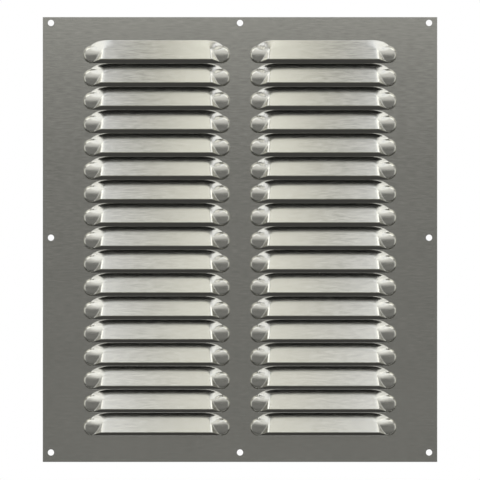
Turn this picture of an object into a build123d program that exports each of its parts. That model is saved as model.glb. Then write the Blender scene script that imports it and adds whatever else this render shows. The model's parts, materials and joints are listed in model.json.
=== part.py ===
from build123d import *
from math import atan2, cos, pi, sin
import os

# Louvred ventilation grille: one plate of sheet metal with pressed louvres and punched screw holes.
# The plate stands upright with its back on the wall at y = 0, and its louvres stand out towards -Y.

# Plate
plate_width = 266.0
plate_height = 300.0
sheet = 1.0

# Screw holes, three along the top, three along the bottom and one halfway up each side
hole_diameter = 4.2
hole_side_inset = 5.5
hole_top_inset = 3.9
hole_bottom_inset = 6.4

# Louvre field
columns = 2
rows = 17
column_pitch = 112.3
row_pitch = 15.7
first_fold_below_top = 16.5

# One louvre: folded out along its top, sheared free along its bottom, drawn closed at both ends
louvre_length = 98.6
louvre_height = 14.6
louvre_rise = 6.5
lip_above_cut = 2.0
fold_end_inset = 13.5
lip_end_inset = 12.0
shoulder_inset = 8.8
ear_radius = 5.8
ear_bulge = 0.8
ear_steps = 16

# Sizes that follow
top_edge = plate_height / 2
side_edge = plate_width / 2
half_length = louvre_length / 2
fold_end = half_length - fold_end_inset
lip_end = half_length - lip_end_inset
slit_end = half_length - ear_radius
face_angle = atan2(louvre_rise, louvre_height - lip_above_cut)
mouth_slope = lip_above_cut / louvre_rise
hollow_back = sheet / (cos(face_angle) + mouth_slope * sin(face_angle))
hollow_down = mouth_slope * hollow_back

# Louvres are drawn on the front of the plate: x along the louvre, y up from its cut line, z outwards
front = Plane(origin=(0, -sheet, 0), x_dir=(1, 0, 0), z_dir=(0, -1, 0))


def both_ends(points):
    """The points given for the right-hand end, and their mirror images at the left-hand end."""
    return [(side * x, y, z) for x, y, z in points for side in (-1, 1)]


def sunk(points):
    """Points on the front of the sheet, and the same points inside its thickness."""
    return points + [(x, y, z - sheet / 2) for x, y, z in points]


# Body: a face sloping from the fold line down to the lip, hipped at both ends
fold_corner = Vector(fold_end, louvre_height, 0)
lip_corner = Vector(lip_end, lip_above_cut, louvre_rise)
body_foot = [tuple(fold_corner), (half_length - shoulder_inset, 2 * ear_radius, 0), (slit_end, 0, 0)]
body = ConvexPolyhedron(both_ends(sunk(body_foot) + [tuple(lip_corner)]))

# Ears: round at the foot, swelling up to the middle of the hip
hip = (fold_corner + lip_corner) / 2
turns = [2 * pi * step / ear_steps for step in range(ear_steps)]
rim = [(slit_end + ear_radius * cos(turn), ear_radius + ear_radius * sin(turn), 0) for turn in turns]
swell = [tuple((Vector(*point) + hip) / 2 + Vector(0, 0, ear_bulge)) for point in rim]
ear = ConvexPolyhedron(sunk(rim) + swell + [tuple(hip)])
raised = body + [ear, mirror(ear, about=Plane.YZ)]

# The hollow behind is the same form, set back by the thickness of the sheet along the plane of the mouth
hollow = Pos(0, -hollow_down, -hollow_back) * raised

first_cut = top_edge - first_fold_below_top - louvre_height
places = [
    Pos((column - (columns - 1) / 2) * column_pitch, first_cut - row * row_pitch, 0)
    for column in range(columns)
    for row in range(rows)
]
plate = Pos(0, 0, -sheet / 2) * Box(plate_width, plate_height, sheet)
plate += [place * raised for place in places]
plate -= [place * hollow for place in places]

# Screw holes
hole_side = side_edge - hole_side_inset
hole_top = top_edge - hole_top_inset
hole_bottom = hole_bottom_inset - top_edge
hole_middle = (hole_top + hole_bottom) / 2
hole_places = [(side * hole_side, height) for side in (-1, 1) for height in (hole_top, hole_middle, hole_bottom)]
hole_places += [(0, hole_top), (0, hole_bottom)]
plate -= [Pos(x, y, -sheet / 2) * Cylinder(hole_diameter / 2, 2 * sheet) for x, y in hole_places]

os.makedirs("parts", exist_ok=True)
export_step(front.location * plate, "parts/grille.step")
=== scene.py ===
import json
from math import atan2, cos, hypot, pi, radians, sin

import bmesh
import bpy
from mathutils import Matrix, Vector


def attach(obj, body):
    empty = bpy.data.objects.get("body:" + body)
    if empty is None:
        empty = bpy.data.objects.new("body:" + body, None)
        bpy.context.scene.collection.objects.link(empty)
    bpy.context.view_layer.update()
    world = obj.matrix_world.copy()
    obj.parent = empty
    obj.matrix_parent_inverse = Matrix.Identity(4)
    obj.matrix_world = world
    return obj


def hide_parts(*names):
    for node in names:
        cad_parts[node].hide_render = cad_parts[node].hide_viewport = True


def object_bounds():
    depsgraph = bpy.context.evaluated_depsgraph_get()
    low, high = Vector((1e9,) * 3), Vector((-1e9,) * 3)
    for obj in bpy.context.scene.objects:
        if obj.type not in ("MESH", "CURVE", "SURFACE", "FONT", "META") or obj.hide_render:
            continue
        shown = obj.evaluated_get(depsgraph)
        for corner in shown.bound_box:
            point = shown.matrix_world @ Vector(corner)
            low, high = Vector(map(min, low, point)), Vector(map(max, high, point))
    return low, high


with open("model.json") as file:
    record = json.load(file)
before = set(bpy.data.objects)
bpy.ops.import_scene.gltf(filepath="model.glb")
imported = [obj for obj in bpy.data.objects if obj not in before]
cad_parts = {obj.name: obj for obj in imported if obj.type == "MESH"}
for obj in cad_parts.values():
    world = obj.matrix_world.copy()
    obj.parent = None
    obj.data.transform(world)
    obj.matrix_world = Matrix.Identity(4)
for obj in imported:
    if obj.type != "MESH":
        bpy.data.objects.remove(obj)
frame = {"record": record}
cad_low, cad_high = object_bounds()

# Pressed louvre.
# One stroke of a die shears the sheet along a slit and pushes it out above the slit, folding it along
# the top and drawing it down into a round ear at each end. No metal is added or taken away.
mm = 0.001
louvre_length = 98.6 * mm
louvre_height = 15.55 * mm
louvre_rise = 6.5 * mm
row_pitch = 15.7 * mm
half_length = louvre_length / 2

# Sloping face and the steep hip at its end: x along the louvre, y up from the slit, z out of the plate
fold_end_inset = 13.5 * mm
lip_end_inset = 12.0 * mm
lip_above_cut = 2.7 * mm
slit_end_inset = 4.2 * mm
crease_blend = 0.9 * mm
foot_blend = 0.15 * mm
foot_margin = 0.6 * mm
fold_corner = (half_length - fold_end_inset, louvre_height, 0)
lip_corner = (half_length - lip_end_inset, lip_above_cut, louvre_rise)
slit_end = (half_length - slit_end_inset, 0, 0)

# Ear, which closes the end of the louvre: a round wall, and a domed top that slopes up to the face and
# tilts up a little to the slit
ear_radius = 5.8 * mm
ear_inner_height = 2.6 * mm
ear_slope = 0.125
ear_tilt = 0.02
ear_dome = 0.85 * mm
ear_inner_stretch = 0.3
ear_wall_slope = 2.2
ear_edge_blend = 0.4 * mm
ear_blend = 0.3 * mm
ear_centre = (half_length - ear_radius, ear_radius)

# Shoulder, the soft slope from the end of the fold down to the ear
shoulder_inset = 7.8 * mm
shoulder_drop = 1.8 * mm
shoulder_end_inset = 6.3 * mm
shoulder_slope = 0.5
shoulder_low, shoulder_high = 8 * mm, 12.5 * mm
shoulder_blend = 1.0 * mm
shoulder = (half_length - shoulder_inset, louvre_height - shoulder_drop, 0)
shoulder_end = half_length - shoulder_end_inset


def smooth_max(a, b, blend):
    """The larger of two heights, rounded over where they are within blend of each other."""
    near = max(blend - abs(a - b), 0) / blend
    return max(a, b) + near * near * blend / 4


def smooth_min(a, b, blend):
    """The smaller of two heights, rounded in the same way."""
    return -smooth_max(-a, -b, blend)


def height_on_plane(x, y, a, b, c):
    """Height at x, y of the plane through three points."""
    ux, uy, uz = (q - p for p, q in zip(a, b))
    vx, vy, vz = (q - p for p, q in zip(a, c))
    nx, ny, nz = uy * vz - uz * vy, uz * vx - ux * vz, ux * vy - uy * vx
    return a[2] - (nx * (x - a[0]) + ny * (y - a[1])) / nz


def ear_surface(x, y):
    """Height of the ear: a round edge, and a domed top that rises towards the face and runs up to it."""
    across = x - ear_centre[0]
    if across < 0:
        across *= ear_inner_stretch
    reach = hypot(across, y - ear_centre[1]) / ear_radius
    wall = ear_wall_slope * ear_radius * (1 - reach)
    top = ear_inner_height + ear_slope * (lip_corner[0] - x) + ear_tilt * (ear_centre[1] - y)
    top += ear_dome * (1 - reach * reach)
    return smooth_min(wall, top, ear_edge_blend)


def shoulder_share(y):
    """How much of the end is shoulder at this height: none beside the ear, all of it above."""
    share = min(max((y - shoulder_low) / (shoulder_high - shoulder_low), 0), 1)
    return share * share * (3 - 2 * share)


def body_surface(x, y):
    """Height of the sloping face, with a steep hip at its end and a soft shoulder above the ear."""
    face = louvre_rise * (louvre_height - y) / (louvre_height - lip_above_cut)
    hip = height_on_plane(x, y, fold_corner, lip_corner, slit_end)
    slope = height_on_plane(x, y, fold_corner, shoulder, lip_corner)
    upper = smooth_min(slope, shoulder_slope * (shoulder_end - x), crease_blend)
    return smooth_min(face, hip + (upper - hip) * shoulder_share(y), crease_blend)


def louvre_surface(x, y):
    """Height of the pressed sheet above the plate."""
    blend = ear_blend + (shoulder_blend - ear_blend) * shoulder_share(y)
    raised = smooth_max(body_surface(x, y), ear_surface(x, y), blend)
    return smooth_max(raised, 0, foot_blend)


# Lines across the right-hand half of the louvre, each from its foot to its free edge: first round the ear,
# then over the shoulder, then along the face to the middle
ear_steps = 18
ear_turn = (radians(-62), radians(80))
shoulder_steps = (0.17, 0.34, 0.52, 0.7, 0.84, 0.94)
shoulder_pull_drop = 0.8 * mm
shoulder_pull = (half_length - shoulder_inset, louvre_height - shoulder_pull_drop)
face_steps = (1.0, 0.985, 0.965, 0.92, 0.8, 0.5, 0.0)
foot_line = []
for step in range(ear_steps + 1):
    turn = ear_turn[0] + (ear_turn[1] - ear_turn[0]) * step / ear_steps
    foot_line.append((ear_centre[0] + ear_radius * cos(turn), ear_centre[1] + ear_radius * sin(turn)))
ear_top = foot_line[-1]
for share in shoulder_steps:
    rest = 1 - share
    foot_line.append(tuple(rest * rest * e + 2 * rest * share * p + share * share * f
                           for e, p, f in zip(ear_top, shoulder_pull, fold_corner)))
end_lines = len(foot_line)
free_line = []
for index in range(end_lines):
    share = (index / end_lines) ** 2
    free_line.append(tuple(s + (c - s) * share for s, c in zip(slit_end[:2], lip_corner)))
for share in face_steps:
    foot_line.append((fold_corner[0] * share, louvre_height))
    free_line.append((lip_corner[0] * share, lip_above_cut))


def along_line(foot, free, share):
    """The place at a share of the way from the foot of a line to its free edge."""
    return tuple(a + (b - a) * share for a, b in zip(foot, free))


def valley_share(foot, free):
    """How far along a line the ear gives way to the hip, or the usual place where it has no ear."""
    steps = 200
    usual = 0.55
    for step in range(steps, 0, -1):
        place = along_line(foot, free, step / steps)
        if ear_surface(*place) > body_surface(*place):
            return step / steps
    return usual


def grid_faces(lines, line_points):
    """The faces of a grid of so many lines, each with so many points."""
    corners = [line * line_points + point for line in range(lines - 1) for point in range(line_points - 1)]
    return [(corner, corner + 1, corner + line_points + 1, corner + line_points) for corner in corners]


# Points on each line: outside the foot, from the foot to the valley, and from there to the free edge.
# The first line lies flat, along the end of the slit
foot_rows = (1.0, 0.7, 0.35)
least_strip = 0.1 * mm
flat_rows = 2
latest_valley = 0.9
ear_rows = (0, 0.05, 0.11, 0.18, 0.28, 0.42, 0.57, 0.72, 0.86, 0.95)
hip_rows = (0, 0.06, 0.2, 0.4, 0.6, 0.8, 0.93, 1)
half_grid = []
for index, (foot, free) in enumerate(zip(foot_line, free_line)):
    before = foot_line[max(index - 1, 0)]
    after = foot_line[min(index + 1, len(foot_line) - 1)]
    along = (after[0] - before[0], after[1] - before[1])
    size = hypot(*along)
    out = (along[1] / size, -along[0] / size)
    valley = min(valley_share(foot, free), latest_valley)
    margin = min(foot_margin, row_pitch - least_strip - foot[1])
    line = [(foot[0] + out[0] * margin * gap, foot[1] + out[1] * margin * gap) for gap in foot_rows]
    line += [along_line(foot, free, valley * share) for share in ear_rows]
    line += [along_line(foot, free, valley + (1 - valley) * share) for share in hip_rows]
    level = flat_rows if index else len(line)
    heights = [0 if row < level else louvre_surface(*place) for row, place in enumerate(line)]
    half_grid.append([(x, y, height) for (x, y), height in zip(line, heights)])

louvre_grid = half_grid + [[(-x, y, z) for x, y, z in line] for line in reversed(half_grid[:-1])]
louvre_points = [point for line in louvre_grid for point in line]
louvre_mesh = bpy.data.meshes.new("pressed_louvre")
louvre_mesh.from_pydata(louvre_points, [], grid_faces(len(louvre_grid), len(louvre_grid[0])))
louvre = bpy.data.objects.new("pressed_louvre", louvre_mesh)

# The hole that the louvre leaves in the flat of the plate: round its foot, and back along the slit
slit_side = half_grid[0][1:]
cut_points = [line[0] for line in louvre_grid]
cut_points += [(-x, y, z) for x, y, z in slit_side]
cut_points += reversed(slit_side)
cut_curve = bpy.data.curves.new("louvre_cut", "CURVE")
cut_curve.dimensions = "3D"
cut_spline = cut_curve.splines.new("POLY")
cut_spline.points.add(len(cut_points) - 1)
for point, place in zip(cut_spline.points, cut_points):
    point.co = (*place, 1)
cut_spline.use_cyclic_u = True
louvre_cut = bpy.data.objects.new("louvre_cut", cut_curve)

# Grille plate.
# A rectangle of thin satin steel sheet, sheared to size, with two columns of the pressed louvres and a
# ring of plain punched screw holes. It is one piece: the louvres are the plate's own metal.
sheet = 1.0 * mm
columns, rows = 2, 17
column_pitch = 112.3 * mm
first_fold_below_top = 15.55 * mm
hole_sides = 48
weld_distance = 0.005 * mm
plate_width = cad_high.x - cad_low.x
plate_height = cad_high.z - cad_low.z
field_height = (rows - 1) * row_pitch
first_cut = plate_height / 2 - first_fold_below_top - louvre_height
screws = next(mount for mount in frame["record"]["mounts"] if mount["name"] == "corner_screws")


def add_node(tree, kind, inputs, **settings):
    """A new node's outputs. Its inputs, by name or in order, are linked to other nodes or set to a value."""
    node = tree.nodes.new(kind)
    for name, value in settings.items():
        setattr(node, name, value)
    pairs = inputs.items() if isinstance(inputs, dict) else enumerate(inputs)
    for key, source in pairs:
        if isinstance(source, bpy.types.NodeSocket):
            tree.links.new(source, node.inputs[key])
        elif isinstance(source, list):
            for each in source:
                tree.links.new(each, node.inputs[key])
        else:
            node.inputs[key].default_value = source
    return node.outputs


# Satin steel with a fine grain along the louvres from rolling, and faint cloudy handling marks
steel_dark = (0.58, 0.575, 0.52, 1)
steel_light = (0.66, 0.652, 0.59, 1)
steel_roughness = (0.2, 0.25)
grain_spots = (160, 1000, 1000)
grain_detail = 3
grain_tint = (0, 0.6)
grain_depth = 0.02 * mm
grain_strength = 0.35
cloud_spots = (18, 18, 30)
cloud_detail = 4
cloud_tint = (0, 0.4)
steel = bpy.data.materials.new("satin_steel")
steel.use_nodes = True
steel_tree = steel.node_tree
steel_place = add_node(steel_tree, "ShaderNodeTexCoord", {})["Object"]


def steel_noise(spots, detail):
    """A noise pattern over the sheet, with so many spots a metre along each axis."""
    stretched = add_node(steel_tree, "ShaderNodeMapping", {"Vector": steel_place, "Scale": spots})
    return add_node(steel_tree, "ShaderNodeTexNoise",
                    {"Vector": stretched["Vector"], "Scale": 1, "Detail": detail})["Fac"]


def steel_range(pattern, ends):
    """The middle part of a noise pattern, spread between two ends."""
    middle_low, middle_high = 0.3, 0.7
    return add_node(steel_tree, "ShaderNodeMapRange",
                    {"Value": pattern, "From Min": middle_low, "From Max": middle_high,
                     "To Min": ends[0], "To Max": ends[1]})["Result"]


grain = steel_noise(grain_spots, grain_detail)
clouds = steel_noise(cloud_spots, cloud_detail)
mottle = add_node(steel_tree, "ShaderNodeMath",
                  [steel_range(clouds, cloud_tint), steel_range(grain, grain_tint)], operation="ADD")
steel_tint = add_node(steel_tree, "ShaderNodeMix",
                      {"Factor": mottle["Value"], "A": steel_dark, "B": steel_light}, data_type="RGBA")
grain_bump = add_node(steel_tree, "ShaderNodeBump",
                      {"Height": grain, "Strength": grain_strength, "Distance": grain_depth})
steel_shader = steel_tree.nodes["Principled BSDF"]
steel_shader.inputs["Metallic"].default_value = 1
steel_tree.links.new(steel_tint["Result"], steel_shader.inputs["Base Color"])
steel_tree.links.new(steel_range(grain, steel_roughness), steel_shader.inputs["Roughness"])
steel_tree.links.new(grain_bump["Normal"], steel_shader.inputs["Normal"])

plate_tree = bpy.data.node_groups.new("louvred_plate", "GeometryNodeTree")
plate_tree.interface.new_socket("Geometry", in_out="OUTPUT", socket_type="NodeSocketGeometry")
plate_sizes = {
    "Louvre": ("NodeSocketObject", louvre),
    "Louvre Cut": ("NodeSocketObject", louvre_cut),
    "Columns": ("NodeSocketInt", columns),
    "Rows": ("NodeSocketInt", rows),
    "Field Width": ("NodeSocketFloat", (columns - 1) * column_pitch),
    "Field Height": ("NodeSocketFloat", field_height),
    "Field Centre": ("NodeSocketVector", (0, first_cut - field_height / 2, 0)),
    "Plate Width": ("NodeSocketFloat", plate_width),
    "Plate Height": ("NodeSocketFloat", plate_height),
    "Hole Radius": ("NodeSocketFloat", screws["dims"]["hole_r_mm"] * mm),
    "Hole Span Across": ("NodeSocketFloat", screws["dims"]["spacing_x_mm"] * mm),
    "Hole Span Up": ("NodeSocketFloat", screws["dims"]["spacing_y_mm"] * mm),
    "Hole Centre": ("NodeSocketVector", (0, screws["pos_m"][2], 0)),
    "Front": ("NodeSocketVector", (0, -sheet, 0)),
    "Finish": ("NodeSocketMaterial", steel),
}
plate_sockets = {
    name: plate_tree.interface.new_socket(name, in_out="INPUT", socket_type=kind).identifier
    for name, (kind, value) in plate_sizes.items()
}
given = plate_tree.nodes.new("NodeGroupInput").outputs


def points_in_rows(across, up, width, height, centre):
    """Points in even rows and columns about a centre."""
    grid = add_node(plate_tree, "GeometryNodeMeshGrid",
                    {"Size X": width, "Size Y": height, "Vertices X": across, "Vertices Y": up})
    moved = add_node(plate_tree, "GeometryNodeTransform", {"Geometry": grid["Mesh"], "Translation": centre})
    return moved["Geometry"]


def on_points(points, shape):
    """A copy of the shape on every point, as plain geometry."""
    copies = add_node(plate_tree, "GeometryNodeInstanceOnPoints", {"Points": points, "Instance": shape})
    return add_node(plate_tree, "GeometryNodeRealizeInstances", {"Geometry": copies["Instances"]})["Geometry"]


louvre_places = points_in_rows(given["Columns"], given["Rows"], given["Field Width"], given["Field Height"],
                               given["Field Centre"])
louvre_shape = add_node(plate_tree, "GeometryNodeObjectInfo", {"Object": given["Louvre"]})
cut_shape = add_node(plate_tree, "GeometryNodeObjectInfo", {"Object": given["Louvre Cut"]})

# Three rows of three hole places, without the one in the middle
holes_a_side = 3
hole_grid = points_in_rows(holes_a_side, holes_a_side, given["Hole Span Across"], given["Hole Span Up"],
                           given["Hole Centre"])
hole_number = add_node(plate_tree, "GeometryNodeInputIndex", {})
middle = add_node(plate_tree, "FunctionNodeCompare",
                  {"A": hole_number["Index"], "B": holes_a_side ** 2 // 2},
                  data_type="INT", operation="EQUAL")
hole_places = add_node(plate_tree, "GeometryNodeDeleteGeometry",
                       {"Geometry": hole_grid, "Selection": middle["Result"]}, domain="POINT")
hole_shape = add_node(plate_tree, "GeometryNodeCurvePrimitiveCircle",
                      {"Resolution": hole_sides, "Radius": given["Hole Radius"]})

plate_edge = add_node(plate_tree, "GeometryNodeCurvePrimitiveQuadrilateral",
                      {"Width": given["Plate Width"], "Height": given["Plate Height"]})
louvre_cuts = on_points(louvre_places, cut_shape["Geometry"])
holes = on_points(hole_places["Geometry"], hole_shape["Curve"])
outlines = add_node(plate_tree, "GeometryNodeJoinGeometry",
                    {"Geometry": [plate_edge["Curve"], louvre_cuts, holes]})
flat_sheet = add_node(plate_tree, "GeometryNodeFillCurve", {"Curve": outlines["Geometry"]})
louvres = on_points(louvre_places, louvre_shape["Geometry"])
joined = add_node(plate_tree, "GeometryNodeJoinGeometry", {"Geometry": [flat_sheet["Mesh"], louvres]})
merged = add_node(plate_tree, "GeometryNodeMergeByDistance",
                  {"Geometry": joined["Geometry"], "Distance": weld_distance})
upright = add_node(plate_tree, "GeometryNodeTransform",
                   {"Geometry": merged["Geometry"], "Translation": given["Front"],
                    "Rotation": (pi / 2, 0, 0)})
plain = add_node(plate_tree, "GeometryNodeRealizeInstances", {"Geometry": upright["Geometry"]})
finished = add_node(plate_tree, "GeometryNodeSetMaterial",
                    {"Geometry": plain["Geometry"], "Material": given["Finish"]})
add_node(plate_tree, "NodeGroupOutput", {"Geometry": finished["Geometry"]})

plate = bpy.data.objects.new("plate_former", bpy.data.meshes.new("plate_former"))
bpy.context.scene.collection.objects.link(plate)
former = plate.modifiers.new("Louvred plate", "NODES")
former.node_group = plate_tree
for name, (kind, value) in plate_sizes.items():
    former[plate_sockets[name]] = value
bpy.context.view_layer.update()
skin = bpy.data.meshes.new_from_object(plate.evaluated_get(bpy.context.evaluated_depsgraph_get()))
plate.modifiers.remove(former)
plate.data = skin

# The skin is the front of the sheet: it is turned to face forwards
former_mesh = bmesh.new()
former_mesh.from_mesh(skin)
bmesh.ops.recalc_face_normals(former_mesh, faces=former_mesh.faces)
largest = max(former_mesh.faces, key=lambda face: face.calc_area())
if largest.normal.y > 0:
    bmesh.ops.reverse_faces(former_mesh, faces=former_mesh.faces)

# The back of the sheet: the same form, set back by its thickness along the plane of the louvres' mouths
face_angle = atan2(louvre_rise, louvre_height - lip_above_cut)
mouth_slope = lip_above_cut / louvre_rise
hollow_back = sheet / (cos(face_angle) + mouth_slope * sin(face_angle))
hollow_down = mouth_slope * hollow_back
front_rim = [edge for edge in former_mesh.edges if edge.is_boundary]
front_points = former_mesh.verts[:]
front_geometry = front_points + former_mesh.edges[:] + former_mesh.faces[:]
copied = bmesh.ops.duplicate(former_mesh, geom=front_geometry)
back_point = copied["vert_map"]
for point in front_points:
    pressed = min(max(-sheet - point.co.y, 0) / foot_margin, 1)
    back_point[point].co.y += sheet + (hollow_back - sheet) * pressed
    back_point[point].co.z -= hollow_down * pressed
back_faces = [item for item in copied["geom"] if isinstance(item, bmesh.types.BMFace)]
bmesh.ops.reverse_faces(former_mesh, faces=back_faces)
for edge in front_rim:
    first = edge.link_loops[0].vert
    second = edge.other_vert(first)
    former_mesh.faces.new((second, first, back_point[first], back_point[second]))

sharp_angle = radians(40)
grille_mesh = bpy.data.meshes.new("louvred_grille")
former_mesh.to_mesh(grille_mesh)
former_mesh.free()
grille_mesh.materials.append(steel)
bpy.data.objects.remove(plate)
grille_mesh.polygons.foreach_set("use_smooth", [True] * len(grille_mesh.polygons))
grille_mesh.set_sharp_from_angle(angle=sharp_angle)
grille = bpy.data.objects.new("louvred_grille", grille_mesh)
bpy.context.scene.collection.objects.link(grille)
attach(grille, "root")
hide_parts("grille")

# Studio.
# A white room, a pale floor below and behind the grille, and a graded tent in front of it for the
# metal to mirror: dark low down, grey at eye level, bright overhead and at both sides.
world = bpy.data.worlds.new("white_room")
bpy.context.scene.world = world
world.use_nodes = True
room_light = world.node_tree.nodes["Background"]
room_light.inputs["Color"].default_value = (1, 1, 1, 1)
room_light.inputs["Strength"].default_value = 1


def stage_sheet(name, corners, faces=None):
    """A sheet on the stage, one flat face unless its faces are given, with a node material of its own."""
    mesh = bpy.data.meshes.new(name)
    mesh.from_pydata(corners, [], faces or [range(len(corners))])
    sheet_object = bpy.data.objects.new(name, mesh)
    bpy.context.scene.collection.objects.link(sheet_object)
    material = bpy.data.materials.new(name)
    material.use_nodes = True
    mesh.materials.append(material)
    return sheet_object


# Floor, pale and matt
floor_colour = (0.9, 0.9, 0.9, 1)
floor_roughness = 0.7
floor_half_width = 2
floor_front, floor_back = -0.05, 1.4
floor_below_grille = 0.25
floor_level = cad_low.z - floor_below_grille
floor = stage_sheet("floor", [
    (-floor_half_width, floor_front, floor_level), (floor_half_width, floor_front, floor_level),
    (floor_half_width, floor_back, floor_level), (-floor_half_width, floor_back, floor_level),
])
floor_shader = floor.active_material.node_tree.nodes["Principled BSDF"]
floor_shader.inputs["Base Color"].default_value = floor_colour
floor_shader.inputs["Roughness"].default_value = floor_roughness

# Tent: half a ball in front of the grille, seen by the metal and not by the camera
tent_radius = 2.5
tent_turns, tent_rings = 32, 24
tent_points = []
for ring in range(tent_rings + 1):
    lift = pi * (ring / tent_rings - 0.5)
    for step in range(tent_turns + 1):
        turn = pi * step / tent_turns
        tent_points.append((tent_radius * cos(lift) * cos(turn), -tent_radius * cos(lift) * sin(turn),
                            tent_radius * sin(lift)))
tent = stage_sheet("tent", tent_points, grid_faces(tent_rings + 1, tent_turns + 1))
tent.visible_camera = False
tent_tree = tent.active_material.node_tree
tent_place = add_node(tent_tree, "ShaderNodeTexCoord", {})["Object"]
tent_axes = add_node(tent_tree, "ShaderNodeSeparateXYZ", {"Vector": tent_place})


def graded(tree, place, stops):
    """Colour by place, from stops of (place, red, green, blue)."""
    ramp = tree.nodes.new("ShaderNodeValToRGB")
    tree.links.new(place, ramp.inputs["Fac"])
    elements = ramp.color_ramp.elements
    ready_made = len(elements)
    for index, (position, *colour) in enumerate(stops):
        element = elements[index] if index < ready_made else elements.new(1)
        element.position = position
        element.color = (*colour, 1)
    return ramp.outputs["Color"]


def tent_grade(axis, stops):
    """Brightness along one axis of the tent, from stops of (place as a share of the radius, level)."""
    share = add_node(tent_tree, "ShaderNodeMapRange",
                     {"Value": tent_axes[axis], "From Min": -tent_radius, "From Max": tent_radius})
    greys = [((place + 1) / 2, level, level, level) for place, level in stops]
    return graded(tent_tree, share["Result"], greys)


def tent_mix(blend, a, b):
    """Two gradings of the tent, multiplied or added in full."""
    return add_node(tent_tree, "ShaderNodeMix", {"Factor": 1, "A": a, "B": b},
                    data_type="RGBA", blend_type=blend)["Result"]


def shine(tree, colour):
    """Let a sheet on the stage give light of this colour, in place of its plain finish."""
    tree.nodes.remove(tree.nodes["Principled BSDF"])
    light = add_node(tree, "ShaderNodeEmission", {"Color": colour})
    tree.links.new(light["Emission"], tree.nodes["Material Output"].inputs["Surface"])


upward = tent_grade("Z", [(-1, 0.08), (-0.5, 0.12), (-0.25, 0.26), (0.04, 0.19), (0.12, 0.15), (0.18, 0.76),
                          (0.45, 1.05), (1, 0.95)])
side_fade = tent_grade("X", [(-1, 0.3), (-0.8, 0.35), (-0.62, 1), (0.62, 1), (0.8, 0.35), (1, 0.3)])
sideways = tent_grade("X", [(-1, 1), (-0.85, 0.6), (-0.65, 0), (0.65, 0), (0.85, 0.6), (1, 1)])
low_band = tent_grade("Z", [(-0.4, 0), (-0.2, 1), (0.25, 1), (0.42, 0)])
tent_front = tent_mix("MULTIPLY", upward, side_fade)
tent_sides = tent_mix("MULTIPLY", sideways, low_band)
shine(tent_tree, tent_mix("ADD", tent_front, tent_sides))

# Sheet behind the louvres in painted shade. Where it is seen through their slots, it has a fixed dark grey
# glow that stands in for the shaded space behind them. It is clear where the metal mirrors it once.
# Where it is mirrored again inside the louvres it is black, as painted shade in their hollows. It is clear
# from behind
shade_sheet_gap = 4 * mm
shade_sheet_margin = 4 * mm
# Painted shade: the fixed dark grey that stands in for the shaded space behind the slots
painted_shade_colour = (0.045, 0.044, 0.04, 1)
shade_sheet_half_width = column_pitch / 2 + half_length
shade_sheet_top = first_cut + louvre_height + shade_sheet_margin
shade_sheet_bottom = first_cut - field_height - shade_sheet_margin
duct = stage_sheet("duct", [
    (-shade_sheet_half_width, shade_sheet_gap, shade_sheet_bottom), (shade_sheet_half_width, shade_sheet_gap, shade_sheet_bottom),
    (shade_sheet_half_width, shade_sheet_gap, shade_sheet_top), (-shade_sheet_half_width, shade_sheet_gap, shade_sheet_top),
])
duct.visible_diffuse = False
duct.visible_shadow = False
painted_shade_tree = duct.active_material.node_tree
painted_shade_tree.nodes.remove(painted_shade_tree.nodes["Principled BSDF"])
first_mirroring = 1
half_count = 0.5
mirrorings = add_node(painted_shade_tree, "ShaderNodeLightPath", {})["Ray Depth"]
behind = add_node(painted_shade_tree, "ShaderNodeNewGeometry", {})["Backfacing"]
painted_shade_seen = add_node(painted_shade_tree, "ShaderNodeMath", [mirrorings, half_count], operation="LESS_THAN")
# Painted shade: a dark grey glow for camera rays, in place of a lit surface in shade. It has no glow for any
# other ray
painted_shade_glow = add_node(painted_shade_tree, "ShaderNodeEmission", {"Color": painted_shade_colour, "Strength": painted_shade_seen["Value"]})
mirrored_once = add_node(painted_shade_tree, "ShaderNodeMath", [mirrorings, first_mirroring, half_count],
                         operation="COMPARE")
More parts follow.
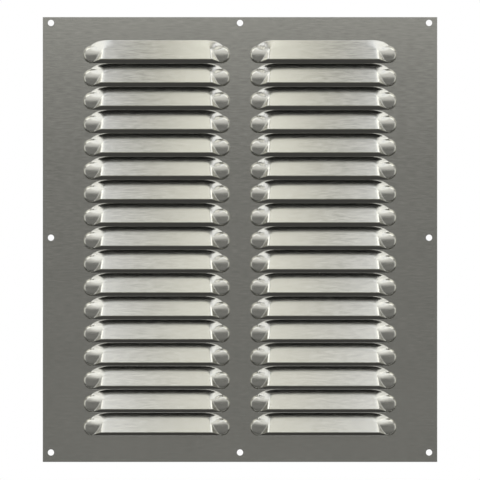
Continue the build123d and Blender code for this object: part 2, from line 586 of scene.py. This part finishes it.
# Painted shade: where the sheet is neither clear nor seen by the camera, it is black, which darkens the
# louvres' hollows
painted_shade_clear = add_node(painted_shade_tree, "ShaderNodeMath", [behind, mirrored_once["Value"]], operation="MAXIMUM")
see_through = add_node(painted_shade_tree, "ShaderNodeBsdfTransparent", {})
painted_shade_side = add_node(painted_shade_tree, "ShaderNodeMixShader",
                     [painted_shade_clear["Value"], painted_shade_glow["Emission"], see_through["BSDF"]])
painted_shade_tree.links.new(painted_shade_side["Shader"], painted_shade_tree.nodes["Material Output"].inputs["Surface"])

# Overhead panel, which the sloping faces mirror. The satin finish blurs its bands into a slow change from
# warm in the middle to cool at the outer ends, and the bright wings light the louvres' shoulders
panel_height = 0.55
panel_outline = [(-0.36, -0.9), (0.36, -0.9), (0.36, -0.42), (0.8, -0.42), (0.8, -0.1), (-0.8, -0.1),
                 (-0.8, -0.42), (-0.36, -0.42)]
panel_bands = [(0.0, 1.45, 1.44, 1.4), (0.036, 1.34, 1.33, 1.26), (0.06, 0.7, 0.69, 0.6),
               (0.08, 0.16, 0.155, 0.11), (0.108, 0.05, 0.05, 0.04), (0.13, 1.6, 1.64, 1.85),
               (0.17, 1.4, 1.41, 1.46), (0.34, 1.4, 1.4, 1.4), (0.44, 2.2, 2.2, 2.2)]
panel = stage_sheet("overhead_panel", [(x, y, panel_height) for x, y in panel_outline])
panel.visible_camera = False
panel_tree = panel.active_material.node_tree
panel_place = add_node(panel_tree, "ShaderNodeTexCoord", {})["Object"]
panel_axes = add_node(panel_tree, "ShaderNodeSeparateXYZ", {"Vector": panel_place})
off_middle = add_node(panel_tree, "ShaderNodeMath", [panel_axes["X"]], operation="ABSOLUTE")
shine(panel_tree, graded(panel_tree, off_middle["Value"], panel_bands))

# Camera straight in front, at about the height of the middle of the plate
camera_back = 2.2
camera_below_middle = 0.3 * mm
picture_width = 323.7 * mm
camera = bpy.data.cameras.new("camera")
camera.lens = camera.sensor_width * (camera_back - sheet) / picture_width
camera_object = bpy.data.objects.new("camera", camera)
camera_object.location = (0, -camera_back, -camera_below_middle)
camera_object.rotation_euler = (pi / 2, 0, 0)
bpy.context.scene.collection.objects.link(camera_object)
bpy.context.scene.camera = camera_object
bpy.context.scene.view_settings.view_transform = "Standard"
